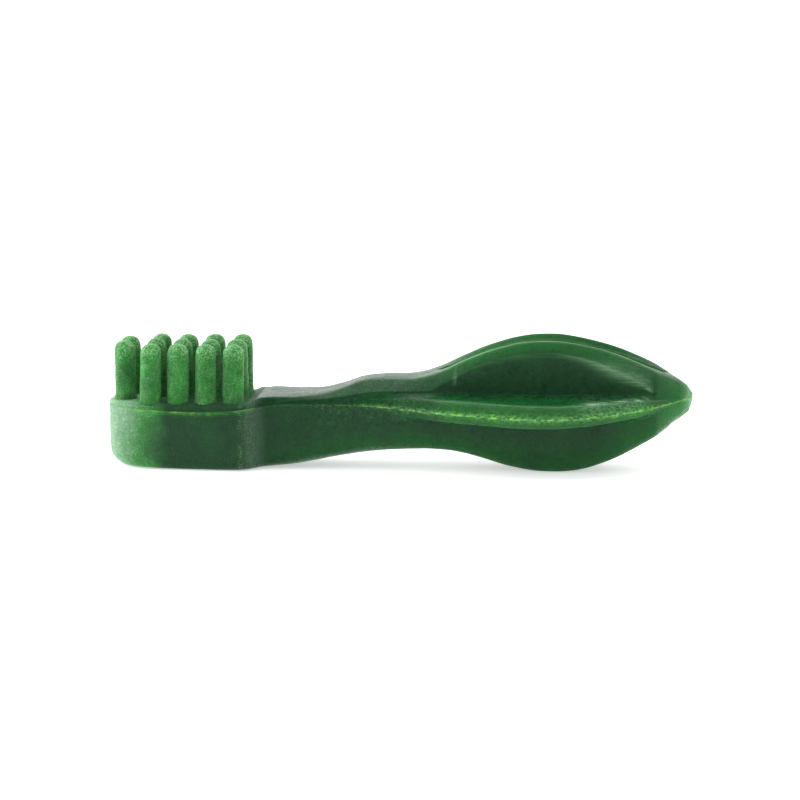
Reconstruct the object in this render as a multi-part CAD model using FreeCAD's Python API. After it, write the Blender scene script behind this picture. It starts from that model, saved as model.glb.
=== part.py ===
import FreeCAD, Part
import bisect
import math
import os

# A toothbrush-shaped dental chew for a pet: a rounded head block with stub bristles, a neck,
# and a leaf-shaped handle whose cross-section is a six-pointed star.
#
# Millimetres. +X runs from the head's free end to the handle's tip, +Y is the chew's left, +Z is
# up, the way the bristles point, and the chew lies on z = 0. The origin is the middle of its
# footprint box. A distance along the chew is called u and starts at the head's free end, so
# x = u - LENGTH / 2.
# The real chew is one moulding. Here it is divided along its own creases and steps, and the
# pieces meet face to face.

# Overall
LENGTH = 100.0
PARTING_Z = 11.5          # the mould's parting plane at the head, whose top it is
HEAD_END = 26.0           # where the head block meets the neck
NECK_END = 49.0           # where the star-shaped handle starts
TIP_START = 93.5          # where the wings have run out and the solid tip starts

# Head block
HEAD_EDGE_RADIUS = 1.5    # round along its bottom edge
HEAD_OUTLINE = [          # (u, half width) from the middle of the free end round to the neck
    (0.0, 0.0), (0.3, 3.0), (1.6, 5.6), (4.2, 7.8), (8.5, 8.9), (15.5, 9.2), (21.5, 9.45),
    (24.4, 9.1), (26.0, 8.1)]
RAMP_START = 24.0         # the head's top is level up to here and then rises to the neck
NECK_STEP = 0.8           # how far the neck's top stands above the head's top

# Bristles
BRISTLE_FOOT_R = 2.05
BRISTLE_TOP_R = 1.85
BRISTLE_HEIGHT = 10.1
ROW_COUNT = 5
FIRST_ROW = 3.0           # u of the two bristles at the free end
ROW_PITCH = 4.75
END_ROW_Y = 3.1           # the end row's two bristles stand at +-this
SIDE_ROW_Y = 6.1          # every other row has one bristle in the middle and one at +-this

# Outlines of the neck and handle, as smooth curves through (u, value)
HALF_WIDTH = [
    (26.0, 8.1), (28.0, 7.2), (31.0, 6.85), (36.5, 6.7), (43.0, 6.95), (48.0, 7.7), (52.0, 9.1),
    (58.0, 11.25), (64.5, 13.0), (71.0, 14.65), (77.0, 15.25), (83.0, 14.2), (88.5, 11.2),
    (93.5, 7.8), (97.0, 4.4), (100.0, 1.1)]
TOP_Z = [
    (26.0, 12.3), (33.0, 12.7), (37.0, 13.1), (40.5, 14.1), (43.5, 15.2), (47.0, 15.7),
    (53.0, 16.0), (56.0, 16.7), (61.0, 18.9), (66.0, 20.9), (71.0, 22.2), (76.0, 22.6),
    (81.0, 22.0), (86.5, 20.6), (91.5, 18.6), (94.5, 17.1), (97.0, 15.7), (100.0, 13.6)]
BOTTOM_Z = [
    (26.0, 0.0), (32.0, 0.35), (39.0, 1.7), (46.5, 3.0), (55.5, 3.5), (60.5, 3.15), (64.5, 2.2),
    (69.0, 0.9), (73.5, 0.1), (76.5, 0.0), (80.5, 0.35), (84.5, 1.5), (90.0, 4.1), (95.5, 7.7),
    (98.0, 9.6), (100.0, 11.3)]
GROOVE_DEPTH = [          # of the channel between a face's two ridges
    (55.0, 0.0), (59.0, 1.9), (63.5, 5.1), (70.0, 7.1), (76.5, 7.7), (83.5, 6.7), (89.0, 4.7),
    (93.5, 2.3), (97.0, 0.2), (100.0, 0.0)]
GROOVE_HALF_WIDTH = [     # from the middle to the channel's upper edge, or of the neck's flat top
    (26.0, 4.6), (31.0, 4.4), (36.0, 3.8), (41.0, 2.6), (49.0, 1.8), (59.0, 2.1), (63.5, 2.6),
    (75.5, 3.1), (86.5, 2.9), (93.5, 1.9), (97.0, 1.0), (100.0, 0.35)]
PARTING_BOW = [           # of the wings' sharp edge: it sags below that plane, then rises
    (26.0, 0.0), (45.0, -0.15), (58.0, -0.6), (72.0, -0.9), (85.0, -0.4), (95.0, 0.5),
    (100.0, 1.1)]
EDGE_HALF_HEIGHT = [      # of the blunt band along a wing's edge, above and below its sharp edge
    (26.0, 2.4), (49.0, 2.1), (76.5, 1.95), (89.0, 1.7), (95.5, 1.1), (100.0, 0.4)]
FLANK_HEIGHT = [          # of a ridge's steep flank, above the crease: a lens seen from the side
    (49.0, 0.0), (55.0, 0.3), (61.0, 3.3), (68.0, 6.2), (75.0, 7.1), (82.0, 5.9), (87.0, 4.0),
    (91.0, 1.9), (94.0, 0.2), (100.0, 0.0)]

# The star's cross-section
CREASE_Y = 6.8            # where a wing meets the ridges
EDGE_DRAFT = 0.8          # how far a wing's corners lie inside its sharp edge
CORNER_TO_CREASE = 0.25   # a wing's face meets the crease this far above its corner ...
WING_RISE = 0.06          # ... and this much more for each mm of the wing's width
RIDGE_DRAFT = 0.55        # how far a ridge's shoulder leans in from the crease
SHOULDER_DROP = 1.5       # least drop from a ridge's crest to its shoulder
GROOVE_LIP_DROP = 0.45    # from a ridge's crest down to the channel's upper edge
CORE_TOP_Z = 13.4         # the ridges stand on a slab between these two heights
CORE_BOTTOM_Z = 8.2

STATIONS = [              # u of the cross-sections that the neck and handle are drawn through
    26.0, 28.5, 31.0, 35.0, 39.0, 43.0, 46.0, 49.0, 52.0, 56.0, 60.0, 64.0, 68.0, 72.0, 76.0,
    80.0, 84.0, 87.5, 90.5, 93.5, 96.0, 98.0, 100.0]
FAR = 2 * LENGTH          # past the whole chew, for the dividing blocks


def place_x(u):
    return u - LENGTH / 2


def curve(points):
    """A function of u: the smooth curve through the points, level beyond its ends."""
    us = [p[0] for p in points]
    vs = [p[1] for p in points]
    steps = [(vs[i + 1] - vs[i]) / (us[i + 1] - us[i]) for i in range(len(us) - 1)]
    slopes = [steps[0]]
    for i in range(1, len(steps)):
        before, after = us[i] - us[i - 1], us[i + 1] - us[i]
        slopes.append((steps[i - 1] * after + steps[i] * before) / (before + after))
    slopes.append(steps[-1])

    def value(u):
        u = min(max(u, us[0]), us[-1])
        i = min(bisect.bisect_right(us, u) - 1, len(us) - 2)
        span = us[i + 1] - us[i]
        t = (u - us[i]) / span
        return (vs[i] * (1 + 2 * t) * (1 - t) ** 2 + slopes[i] * span * t * (1 - t) ** 2
                + vs[i + 1] * t * t * (3 - 2 * t) - slopes[i + 1] * span * t * t * (1 - t))

    return value


half_width = curve(HALF_WIDTH)
top_z = curve(TOP_Z)
bottom_z = curve(BOTTOM_Z)
groove_depth = curve(GROOVE_DEPTH)
groove_half_width = curve(GROOVE_HALF_WIDTH)
parting_bow = curve(PARTING_BOW)
edge_half_height = curve(EDGE_HALF_HEIGHT)
flank_height = curve(FLANK_HEIGHT)


def quarter_section(u, reach):
    """One face's right half at u, as (y, height from the sharp edge), from just past that
    edge to the middle. reach is the crest's height from the sharp edge."""
    width = half_width(u)
    edge = min(edge_half_height(u), 0.5 * reach)
    corner_y = width - EDGE_DRAFT * min(1.0, width / CREASE_Y)
    crease_y = min(CREASE_Y, corner_y - 0.06 * width)
    crease = edge + CORNER_TO_CREASE + WING_RISE * (corner_y - crease_y)
    crease = min(crease, 0.62 * reach)
    shoulder_y = crease_y - RIDGE_DRAFT * crease_y / CREASE_Y
    shoulder = min(crease + flank_height(u), reach - SHOULDER_DROP)
    shoulder = max(shoulder, crease + 0.35 * (reach - crease))
    lip_y = groove_half_width(u)
    depth = groove_depth(u)
    lip = reach - GROOVE_LIP_DROP * min(1.0, depth)
    return [
        (corner_y, edge),
        (crease_y, crease),
        (shoulder_y, shoulder),
        (0.5 * (shoulder_y + lip_y), reach),
        (lip_y, lip),
        (0.55 * lip_y, lip - 0.85 * max(depth - GROOVE_LIP_DROP, 0.0)),
        (0.0, reach - depth)]


def section(u):
    """The closed cross-section of the neck or handle at u."""
    edge_z = PARTING_Z + parting_bow(u)
    upper = quarter_section(u, top_z(u) - edge_z)
    lower = quarter_section(u, edge_z - bottom_z(u))
    right = [(half_width(u), 0.0)] + upper
    left = [(-y, z) for y, z in reversed(right[:-1])]
    below = [(-y, -z) for y, z in lower] + [(y, -z) for y, z in reversed(lower[:-1])]
    points = [FreeCAD.Vector(place_x(u), y, edge_z + z) for y, z in right + left + below]
    return Part.makePolygon(points + points[:1])


def block(u0, u1, y0, y1, z0, z1):
    corner = FreeCAD.Vector(place_x(u0), y0, z0)
    return Part.makeBox(u1 - u0, y1 - y0, z1 - z0, corner)


def handle_pieces():
    """The neck and handle as one smooth solid, divided at its steps and creases."""
    whole = Part.makeLoft([section(u) for u in STATIONS], True, False)
    regions = {
        "neck": block(0, NECK_END, -FAR, FAR, -FAR, FAR),
        "tip": block(TIP_START, FAR, -FAR, FAR, -FAR, FAR),
        "left_wing": block(NECK_END, TIP_START, CREASE_Y, FAR, -FAR, FAR),
        "right_wing": block(NECK_END, TIP_START, -FAR, -CREASE_Y, -FAR, FAR),
        "handle_core": block(NECK_END, TIP_START, -CREASE_Y, CREASE_Y,
                             CORE_BOTTOM_Z, CORE_TOP_Z),
        "upper_left_ridge": block(NECK_END, TIP_START, 0, CREASE_Y, CORE_TOP_Z, FAR),
        "upper_right_ridge": block(NECK_END, TIP_START, -CREASE_Y, 0, CORE_TOP_Z, FAR),
        "lower_left_ridge": block(NECK_END, TIP_START, 0, CREASE_Y, -FAR, CORE_BOTTOM_Z),
        "lower_right_ridge": block(NECK_END, TIP_START, -CREASE_Y, 0, -FAR, CORE_BOTTOM_Z)}
    return {name: whole.common(region) for name, region in regions.items()}


def head():
    """The head block: its rounded outline, drawn up, with its bottom edge rounded and its top
    cut level and then ramped up to the neck."""
    left = [FreeCAD.Vector(place_x(u), y, 0) for u, y in HEAD_OUTLINE]
    right = [FreeCAD.Vector(p.x, -p.y, 0) for p in reversed(left[1:])]
    rim = Part.BSplineCurve()
    rim.interpolate(right + left)
    outline = Part.Wire([rim.toShape(), Part.makeLine(left[-1], right[0])])
    prism = Part.Face(outline).extrude(FreeCAD.Vector(0, 0, PARTING_Z + 2 * NECK_STEP))
    foot = [e for e in prism.Edges
            if e.BoundBox.ZMax < 0.01 and e.BoundBox.XMin < place_x(HEAD_END) - 0.01]
    rounded = prism.makeFillet(HEAD_EDGE_RADIUS, foot)
    past_end = 2 * HEAD_END - RAMP_START
    profile = [
        (-HEAD_END, PARTING_Z), (RAMP_START, PARTING_Z), (past_end, PARTING_Z + 2 * NECK_STEP),
        (past_end, LENGTH), (-HEAD_END, LENGTH)]
    corners = [FreeCAD.Vector(place_x(u), -LENGTH, z) for u, z in profile]
    over = Part.Face(Part.makePolygon(corners + corners[:1])).extrude(
        FreeCAD.Vector(0, FAR, 0))
    return rounded.cut(over)


def bristle(u, y, base):
    """A stub with a slight taper and a domed end, its foot cut to the top of base."""
    dome_z = PARTING_Z + BRISTLE_HEIGHT - BRISTLE_TOP_R
    turn = BRISTLE_TOP_R * math.sqrt(0.5)
    foot = Part.makePolygon([
        FreeCAD.Vector(0, 0, dome_z + BRISTLE_TOP_R),
        FreeCAD.Vector(0, 0, PARTING_Z),
        FreeCAD.Vector(BRISTLE_FOOT_R, 0, PARTING_Z),
        FreeCAD.Vector(BRISTLE_TOP_R, 0, dome_z)])
    dome = Part.Arc(
        FreeCAD.Vector(BRISTLE_TOP_R, 0, dome_z),
        FreeCAD.Vector(turn, 0, dome_z + turn),
        FreeCAD.Vector(0, 0, dome_z + BRISTLE_TOP_R)).toShape()
    half = Part.Face(Part.Wire(foot.Edges + [dome]))
    stub = half.revolve(FreeCAD.Vector(0, 0, 0), FreeCAD.Vector(0, 0, 1), 360)
    stub.translate(FreeCAD.Vector(place_x(u), y, 0))
    return stub.cut(base)


def bristles(base):
    pieces = {}
    for row in range(1, ROW_COUNT + 1):
        if row == 1:
            stands = {"left": END_ROW_Y, "right": -END_ROW_Y}
        else:
            stands = {"left": SIDE_ROW_Y, "middle": 0.0, "right": -SIDE_ROW_Y}
        for side, y in stands.items():
            u = FIRST_ROW + ROW_PITCH * (row - 1)
            pieces[f"bristle_{row}_{side}"] = bristle(u, y, base)
    return pieces


head_block = head()
nodes = {"head": head_block, **handle_pieces(), **bristles(head_block)}
os.makedirs("parts", exist_ok=True)
for name, shape in nodes.items():
    shape.exportStep(f"parts/{name}.step")
    print(name, "solids", len(shape.Solids), "valid", shape.isValid(), round(shape.Volume, 1))
print("volume", round(sum(s.Volume for s in nodes.values()) / 1000, 2), "cm3")
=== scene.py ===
import math

import bpy
import numpy as np
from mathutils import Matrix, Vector, noise


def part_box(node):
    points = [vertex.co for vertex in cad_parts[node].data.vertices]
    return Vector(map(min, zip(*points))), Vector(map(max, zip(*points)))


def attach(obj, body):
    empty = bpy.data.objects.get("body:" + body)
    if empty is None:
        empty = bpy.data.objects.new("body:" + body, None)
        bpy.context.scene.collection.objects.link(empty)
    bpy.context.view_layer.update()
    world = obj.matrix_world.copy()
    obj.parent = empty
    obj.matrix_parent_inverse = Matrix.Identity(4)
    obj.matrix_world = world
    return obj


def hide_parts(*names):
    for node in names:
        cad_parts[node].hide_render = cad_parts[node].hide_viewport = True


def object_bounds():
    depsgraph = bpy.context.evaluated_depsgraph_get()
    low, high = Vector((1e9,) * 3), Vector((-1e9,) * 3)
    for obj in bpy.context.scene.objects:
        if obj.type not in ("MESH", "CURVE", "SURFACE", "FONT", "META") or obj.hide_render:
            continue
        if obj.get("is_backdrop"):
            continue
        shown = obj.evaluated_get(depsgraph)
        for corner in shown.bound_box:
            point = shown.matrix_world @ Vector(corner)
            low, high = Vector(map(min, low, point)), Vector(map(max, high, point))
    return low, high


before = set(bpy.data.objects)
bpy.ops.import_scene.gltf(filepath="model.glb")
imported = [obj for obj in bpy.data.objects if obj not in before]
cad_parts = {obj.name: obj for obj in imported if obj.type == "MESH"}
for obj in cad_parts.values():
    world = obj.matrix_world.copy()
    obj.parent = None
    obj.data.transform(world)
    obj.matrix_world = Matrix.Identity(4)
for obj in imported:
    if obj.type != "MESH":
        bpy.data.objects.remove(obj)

# A toothbrush-shaped dental chew, dark green and slightly translucent, lying on a pale floor.
# The shapes are worked out in millimetres and turned into metres when a mesh is made. u is the
# distance along the chew from the head's free end towards the tip.

cad_low, cad_high = (np.array(corner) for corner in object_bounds())

MM = 0.001
BODY = "root"
LENGTH = (cad_high[0] - cad_low[0]) / MM
START_X = cad_low[0] / MM
HEAD_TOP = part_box("bristle_1_left")[0][2] / MM
HEAD_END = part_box("head")[1][0] / MM - START_X
NECK_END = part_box("neck")[1][0] / MM - START_X
TIP_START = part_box("tip")[0][0] / MM - START_X
FLOOR_Z = cad_low[2]

# ---------------------------------------------------------------- outlines along the chew
# Each list is (u, millimetres), joined by a smooth curve.
HALF_WIDTH = [
    (0.0, 3.1), (0.25, 4.1), (0.9, 5.3), (2.3, 6.7), (4.4, 7.9), (8.0, 8.75), (12.0, 9.0),
    (17.0, 9.2), (21.5, 9.5), (23.8, 9.45), (25.0, 9.0), (26.0, 8.15), (27.2, 7.35), (29.0, 6.9),
    (33.0, 6.75), (38.0, 6.75), (43.0, 6.95), (48.0, 7.7), (52.0, 9.1), (58.0, 11.25),
    (64.5, 13.0), (71.0, 14.65), (77.0, 15.2), (83.0, 14.15), (88.5, 11.2), (93.5, 7.7),
    (97.0, 4.35), (99.0, 2.2), (100.0, 1.3)]
TOP_Z = [
    (0.0, 11.2), (0.5, 11.4), (1.5, 11.5), (23.2, 11.5), (24.2, 11.7), (25.3, 12.2), (26.0, 12.35),
    (33.0, 12.7), (37.0, 13.1), (40.5, 14.1), (43.5, 15.2), (47.0, 15.7), (53.0, 16.0),
    (56.0, 16.7), (61.0, 18.9), (66.0, 20.9), (71.0, 22.2), (76.0, 22.55), (81.0, 22.0),
    (86.5, 20.6), (91.5, 18.7), (94.5, 17.3), (97.0, 16.0), (99.0, 14.7), (100.0, 13.9)]
BOTTOM_Z = [
    (0.0, 2.6), (0.4, 1.5), (1.2, 0.7), (2.6, 0.2), (4.5, 0.02), (26.0, 0.03), (32.0, 0.35),
    (39.0, 1.7), (46.5, 3.0), (55.5, 3.5), (60.5, 3.15), (64.5, 2.2), (69.0, 0.9), (73.5, 0.13),
    (76.5, 0.03), (80.5, 0.37), (84.5, 1.5), (90.0, 4.1), (94.5, 6.7), (97.2, 8.4), (98.6, 9.5),
    (99.4, 10.4), (100.0, 11.3)]
PARTING_Z = [             # of the flash line left where the two halves of the mould met
    (0.0, 10.4), (22.0, 10.5), (27.0, 11.05), (35.0, 11.35), (45.0, 11.3), (58.0, 10.85),
    (72.0, 10.6), (85.0, 11.1), (92.0, 11.65), (96.0, 12.1), (100.0, 12.6)]
EDGE_HEIGHT = [           # of the blunt band along a wing's edge, above the flash line
    (0.0, 0.12), (36.0, 0.15), (40.0, 0.45), (45.0, 1.2), (50.0, 1.65), (56.0, 1.95), (76.0, 2.1),
    (86.0, 1.85), (91.5, 1.5), (95.0, 0.9), (100.0, 0.5)]
LOWER_EDGE = 0.78         # the part of the band below the line is this much of the part above
EDGE_DRAFT = [            # how far the band's corners lie inside the flash line
    (0.0, 0.05), (38.0, 0.08), (48.0, 0.35), (58.0, 0.7), (76.0, 0.8), (88.0, 0.7), (94.0, 0.5),
    (100.0, 0.3)]
CREASE_LIMIT = [          # the wings meet the ridges no further out than this
    (0.0, 99.0), (20.0, 99.0), (26.0, 7.9), (28.0, 6.95), (31.0, 6.7), (45.0, 6.75), (88.0, 6.8),
    (94.0, 6.6), (100.0, 6.6)]
WING_RISE = [             # from a wing's corner up to the crease
    (0.0, 0.1), (30.0, 0.3), (38.0, 0.5), (46.0, 0.8), (56.0, 0.75), (76.0, 0.65), (88.0, 0.6),
    (94.0, 0.9), (100.0, 0.5)]
FLANK_HEIGHT = [          # of a ridge's steep flank above the crease: a lens seen from the side
    (0.0, 0.0), (53.5, 0.0), (55.5, 0.35), (58.0, 1.7), (61.0, 3.4), (65.0, 5.2), (70.0, 6.5),
    (75.0, 7.0), (79.0, 6.6), (83.0, 5.6), (86.5, 4.2), (89.0, 3.0), (91.0, 1.9), (92.4, 0.9),
    (93.3, 0.0), (100.0, 0.0)]
BEVEL_WIDTH = [           # from the shoulder in to the crest, seen from above
    (0.0, 0.55), (23.0, 0.65), (27.0, 0.2), (31.0, 0.4), (35.0, 0.95), (38.0, 1.6), (41.0, 2.4),
    (45.0, 3.2), (50.0, 3.4), (54.0, 3.0), (58.0, 2.2), (64.0, 1.8), (76.0, 1.55), (88.0, 2.2),
    (100.0, 2.2)]
LIP_Y = [                 # half the width of the channel's mouth between a face's two ridges
    (0.0, 4.5), (45.0, 2.8), (53.0, 1.2), (57.0, 1.35), (60.0, 2.0), (65.0, 2.75), (70.0, 3.15),
    (76.0, 3.35), (83.0, 3.5), (88.0, 3.3), (91.5, 2.7), (94.0, 1.8), (96.0, 0.9), (100.0, 0.5)]
CROWN = [                 # how far the crest lies below the middle of the neck's rounded top
    (0.0, 0.0), (27.0, 0.0), (31.0, 0.1), (38.0, 0.2), (52.0, 0.15), (58.0, 0.05), (62.0, 0.0),
    (100.0, 0.0)]
LIP_DROP = [              # from the crest down to that mouth
    (0.0, 0.0), (53.0, 0.0), (57.0, 0.25), (62.0, 0.9), (70.0, 1.25), (84.0, 1.3), (90.0, 0.9),
    (95.0, 0.3), (97.0, 0.05), (100.0, 0.0)]
GROOVE_DEPTH = [          # from the crest down to the channel's floor
    (0.0, 0.0), (54.0, 0.0), (56.5, 0.35), (59.0, 1.9), (63.0, 4.7), (70.0, 6.7), (76.0, 7.0),
    (83.0, 6.1), (88.5, 4.7), (92.5, 2.9), (95.2, 0.9), (97.0, 0.0), (100.0, 0.0)]
BOTTOM_ROUND = [          # radius of the lower corners of the head and neck
    (0.0, 2.4), (5.0, 1.6), (22.0, 1.4), (27.0, 2.0), (32.0, 2.8), (45.0, 3.0), (100.0, 3.0)]


def curve(points):
    """A function of u: the smooth curve through the points, level beyond its ends."""
    us = np.array([p[0] for p in points])
    vs = np.array([p[1] for p in points])
    span = np.diff(us)
    step = np.diff(vs) / span
    inner = (step[:-1] * span[1:] + step[1:] * span[:-1]) / (span[1:] + span[:-1])
    inner[step[:-1] * step[1:] <= 0] = 0.0
    slope = np.concatenate([step[:1], inner, step[-1:]])

    def value(u):
        u = np.clip(u, us[0], us[-1])
        i = np.clip(np.searchsorted(us, u, side="right") - 1, 0, len(us) - 2)
        t = (u - us[i]) / span[i]
        return (vs[i] * (1 + 2 * t) * (1 - t) ** 2 + slope[i] * span[i] * t * (1 - t) ** 2
                + vs[i + 1] * t * t * (3 - 2 * t) - slope[i + 1] * span[i] * t * t * (1 - t))

    return value


def smoothstep(low, high, value):
    """0 below low, 1 above high, and a smooth rise between."""
    t = np.clip((value - low) / (high - low), 0.0, 1.0)
    return t * t * (3 - 2 * t)


def window(u, start, full, fade, end):
    """Rises from 0 at start to 1 at full, and falls from 1 at fade to 0 at end."""
    return smoothstep(start, full, u) * (1 - smoothstep(fade, end, u))


def blend(a, b, t):
    return a + (b - a) * t


half_width = curve(HALF_WIDTH)
top_z = curve(TOP_Z)
bottom_z = curve(BOTTOM_Z)
parting_z = curve(PARTING_Z)
edge_height = curve(EDGE_HEIGHT)
edge_draft = curve(EDGE_DRAFT)
crease_limit = curve(CREASE_LIMIT)
wing_rise = curve(WING_RISE)
flank_height = curve(FLANK_HEIGHT)
bevel_width = curve(BEVEL_WIDTH)
lip_y_at = curve(LIP_Y)
crown_at = curve(CROWN)
lip_drop = curve(LIP_DROP)
groove_depth = curve(GROOVE_DEPTH)
bottom_round = curve(BOTTOM_ROUND)

# ---------------------------------------------------------------- the moulding's cross-section
# A quarter of the section runs through 11 key points, from the flash line by the wing's corner,
# rim and dished face, the crease, the flank, its shoulder and the crest to the lip, wall and
# middle of the channel. Lengths are in mm, and heights are from the flash line.
FLASH, CORNER, RIM, DISH, CREASE, FLANK, SHOULDER, CREST, LIP, WALL, MIDDLE = range(11)
KEY_STEPS = [5, 4, 6, 8, 8, 8, 8, 6, 7, 5]      # points on the way to each key from the last
UPPER_SOFTNESS = [0.12, 0.4, 0.3, 1.4, 0.3, 1.4, 0.45, 1.3, 0.6, 1.3, 1.0]
LOWER_SOFTNESS = [0.12, 0.5, 0.7, 1.4, 0.8, 1.8, 1.6, 1.6, 0.9, 1.3, 1.0]
NECK_CREST_SOFTNESS = 0.5
NECK_CREASE_SOFTNESS = 1.4
CREST_CHANGE, CREASE_CHANGE = (54.0, 62.0), (46.0, 58.0)    # from the neck's to the handle's
FLASH_ROOM = 0.2          # the flash stands out by about this much
EDGE_LIMIT = 0.45         # the edge's band takes up no more than this part of the height
RIM_WIDTH = 1.1
RIM_RISE = 0.2
RIM_LIMIT = 0.35          # the rim takes up no more than this part of the wing
RIM_ROOM = (0.3, 0.6)     # a rim narrower than this doesn't rise
DISH_PLACE = 0.55         # from the crease out to the rim
DISH_DEPTH = 0.35
DISH_ROOM = (1.0, 5.0)    # and a wing narrower than this isn't dished
CREASE_TOP, LOWER_CREASE_TOP = 0.8, 0.6         # the crease is no further up or down than this part
LEAST_INSET = 0.25        # from the flash line in to the crease
LEAST_WING = 0.08         # from the wing's corner in to the crease
LEAST_FLANK = 0.35        # from the crease up to the shoulder
FLANK_LIMIT = 0.86        # of the height above the crease
FLANK_LEAN = 0.09         # inwards, per mm of height
FLANK_HOLLOW = 0.12       # how far a flank as high as FULL_FLANK is dished
FULL_FLANK = 7.0
LEAST_BEVEL = 0.3         # from the shoulder up to the crest
BEVEL_LIMIT = 0.6         # of the shoulder's y
LIP_LIMIT = 0.8           # of the crest's y
LIP_CROWN = 0.3           # the part of the crown's drop that the lip shares
WALL_PLACE = 0.58         # of the lip's y
UPPER_WALL_DEPTH = 0.82   # of the way from the lip down to the channel's floor
LOWER_WALL_DEPTH = 0.8    # and from the crest down in the lower channel
LOWER_RIM_RISE = 0.1
LOWER_RIDGE_SIDE = 2.3    # from the crease in to a lower ridge's crest
LOWER_SIDE = ((0.25, 0.4), (0.8, 0.76))         # mm in from the crease, part of its way to the crest
LOWER_GROOVE = 0.85       # the lower channel's depth as a part of the upper one's
LOWER_LIP = 0.8           # and the same for its lip's drop
SIDE_PLACES = (0.1, 0.24, 0.4, 0.56)            # keys down the plain side of head and neck
FLAT_PLACES = (0.55, 0.25)                      # and keys across their flat underside
ROUND_RUN, ROUND_CUT = 1.35, 0.29               # of the lower corner's radius
ROUND_LIMIT = 0.45                              # of the width, for that radius
RIDGES_START, RIDGES_FULL = 38.0, 56.0          # where the plain underside turns into ridges
TIP_FORM = (93.3, 98.7)                         # and where all turns into the tip's round form
TIP_SIDE_POWER, TIP_TOP_POWER = 0.9, 1.15       # 1 and 1 would make it an ellipse


def key_array(keys):
    """(stations, keys, 2) from a list of the keys' (y, height)."""
    return np.stack([np.stack(key, axis=-1) for key in keys], axis=1)


def tip_keys(width, reach):
    """A quarter of the rounded section that the handle ends in."""
    angle = np.linspace(0.0, math.pi / 2, MIDDLE + 1)
    return np.stack([np.outer(width, np.cos(angle) ** TIP_SIDE_POWER),
                     np.outer(reach, np.sin(angle) ** TIP_TOP_POWER)], axis=-1)


def upper_keys(u):
    """The upper side: the wing's dished face, a steep flank, the bevelled crest, the channel."""
    width = half_width(u) - FLASH_ROOM
    reach = top_z(u) - parting_z(u)
    corner_y = width - edge_draft(u)
    corner = np.minimum(edge_height(u), EDGE_LIMIT * reach)
    crease_y = np.minimum(width - LEAST_INSET, crease_limit(u))
    crease_y = np.minimum(crease_y, corner_y - LEAST_WING)
    crease = np.minimum(corner + wing_rise(u), CREASE_TOP * reach)
    wing = corner_y - crease_y
    rim_y = corner_y - np.minimum(RIM_WIDTH, RIM_LIMIT * wing)
    rim = corner + RIM_RISE * smoothstep(*RIM_ROOM, corner_y - rim_y)
    dish_y = blend(crease_y, rim_y, DISH_PLACE)
    dish = blend(crease, rim, DISH_PLACE) - DISH_DEPTH * smoothstep(*DISH_ROOM, wing)
    flank = np.minimum(np.maximum(flank_height(u), LEAST_FLANK), FLANK_LIMIT * (reach - crease))
    shoulder_y = crease_y - FLANK_LEAN * flank
    shoulder = crease + flank
    flank_y = blend(crease_y, shoulder_y, 0.5) - FLANK_HOLLOW * flank / FULL_FLANK
    crest_y = shoulder_y - np.minimum(bevel_width(u), BEVEL_LIMIT * shoulder_y)
    lip_y = np.minimum(lip_y_at(u), LIP_LIMIT * crest_y)
    floor = reach - groove_depth(u)
    wall = blend(reach - lip_drop(u), floor, UPPER_WALL_DEPTH)
    crown = crown_at(u)
    shoulder = np.minimum(shoulder, reach - crown - LEAST_BEVEL)
    keys = key_array([
        (width, 0 * u), (corner_y, corner), (rim_y, rim), (dish_y, dish), (crease_y, crease),
        (flank_y, blend(crease, shoulder, 0.5)), (shoulder_y, shoulder),
        (crest_y, reach - crown), (lip_y, reach - LIP_CROWN * crown - lip_drop(u)),
        (WALL_PLACE * lip_y, wall), (0 * u, floor)])
    to_tip = smoothstep(*TIP_FORM, u)[:, None, None]
    return blend(keys, tip_keys(width, reach), to_tip)


def plain_lower_keys(u, width, reach):
    """The lower side of the head and neck: plain, with a rounded corner and a flat underside."""
    radius = np.minimum(bottom_round(u), ROUND_LIMIT * width)
    side = [(width, place * reach) for place in (0.0,) + SIDE_PLACES]
    corner = [(width, reach - ROUND_RUN * radius),
              (width - ROUND_CUT * radius, reach - ROUND_CUT * radius),
              (width - ROUND_RUN * radius, reach)]
    flat = [(place * (width - radius), reach) for place in FLAT_PLACES]
    return key_array(side + corner + flat + [(0 * u, reach)])


def ridged_lower_keys(u, width, reach):
    """The handle's underside: two rounded ridges with a channel between them."""
    corner_y = width - edge_draft(u)
    corner = np.minimum(LOWER_EDGE * edge_height(u), EDGE_LIMIT * reach)
    crease_y = np.minimum(crease_limit(u), corner_y - LEAST_WING)
    crease = np.minimum(corner + wing_rise(u), LOWER_CREASE_TOP * reach)
    wing = corner_y - crease_y
    rim_y = corner_y - np.minimum(RIM_WIDTH, RIM_LIMIT * wing)
    crest_y = crease_y - LOWER_RIDGE_SIDE
    lip_y = np.minimum(lip_y_at(u), LIP_LIMIT * crest_y)
    floor = reach - LOWER_GROOVE * groove_depth(u)
    side = [(crease_y - inward, blend(crease, reach, part)) for inward, part in LOWER_SIDE]
    return key_array([
        (width, 0 * u), (corner_y, corner), (rim_y, corner + LOWER_RIM_RISE),
        (blend(crease_y, rim_y, 0.5), blend(crease, corner, 0.5)), (crease_y, crease),
        *side, (crest_y, reach), (lip_y, reach - LOWER_LIP * lip_drop(u)),
        (WALL_PLACE * lip_y, blend(reach, floor, LOWER_WALL_DEPTH)), (0 * u, floor)])


def lower_keys(u):
    """The lower side: plain on the head and neck, with two ridges on the handle."""
    width = half_width(u) - FLASH_ROOM
    reach = parting_z(u) - bottom_z(u)
    to_ridges = smoothstep(RIDGES_START, RIDGES_FULL, u)[:, None, None]
    to_tip = smoothstep(*TIP_FORM, u)[:, None, None]
    keys = blend(plain_lower_keys(u, width, reach), ridged_lower_keys(u, width, reach), to_ridges)
    return blend(keys, tip_keys(width, reach), to_tip)


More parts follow.
